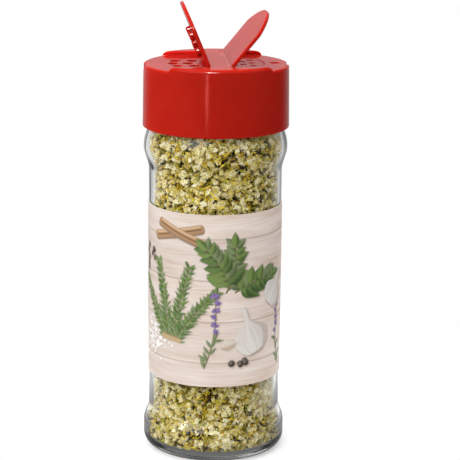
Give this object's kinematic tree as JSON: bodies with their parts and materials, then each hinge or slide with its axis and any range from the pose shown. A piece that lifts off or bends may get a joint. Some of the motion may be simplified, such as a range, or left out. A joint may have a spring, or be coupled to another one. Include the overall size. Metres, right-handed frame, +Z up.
{
  "type": "spice shaker",
  "caption": "Round glass spice jar with a wrap label and a red moulded cap whose hinged flaps cover large shaker holes and fine sprinkle holes.",
  "frame": {"origin": "centre of the jar's base, on the surface that it stands on", "axes": "+Z up along the jar's axis; +X towards the sprinkle flap, -X towards the shaker flap; the picture looks along +Y"},
  "size_m": [0.047, 0.047, 0.1466],
  "materials": {
    "clear_glass": "clear polished container glass",
    "label_paper": "printed paper label, satin",
    "herb_salt": "coarse salt crystals with dried herbs",
    "red_plastic": "glossy moulded polypropylene",
    "hinge_plastic": "thin flexed polypropylene film"
  },
  "bodies": {
    "jar": {"glass_jar": "clear_glass", "wrap_label": "label_paper", "spice_fill": "herb_salt"},
    "cap": {"cap_body": "red_plastic", "shaker_hinge_film": "hinge_plastic", "sprinkle_hinge_film": "hinge_plastic"},
    "left_flap": {"shaker_flap": "red_plastic"},
    "right_flap": {"sprinkle_flap": "red_plastic"}
  },
  "joints": [
    {"name": "cap_lift", "type": "slide", "parent": "jar", "child": "cap", "axis": [0, 0, 1], "range_m": [0, 0.045]},
    {"name": "shaker_flap_hinge", "type": "hinge", "parent": "cap", "child": "left_flap", "pos_m": [-0.0031, 0, 0.1281], "axis": [0, 1, 0], "range_deg": [-67.3, 27.7]},
    {"name": "sprinkle_flap_hinge", "type": "hinge", "parent": "cap", "child": "right_flap", "pos_m": [0.0031, 0, 0.1281], "axis": [0, -1, 0], "range_deg": [-50.5, 44.5]}
  ]
}
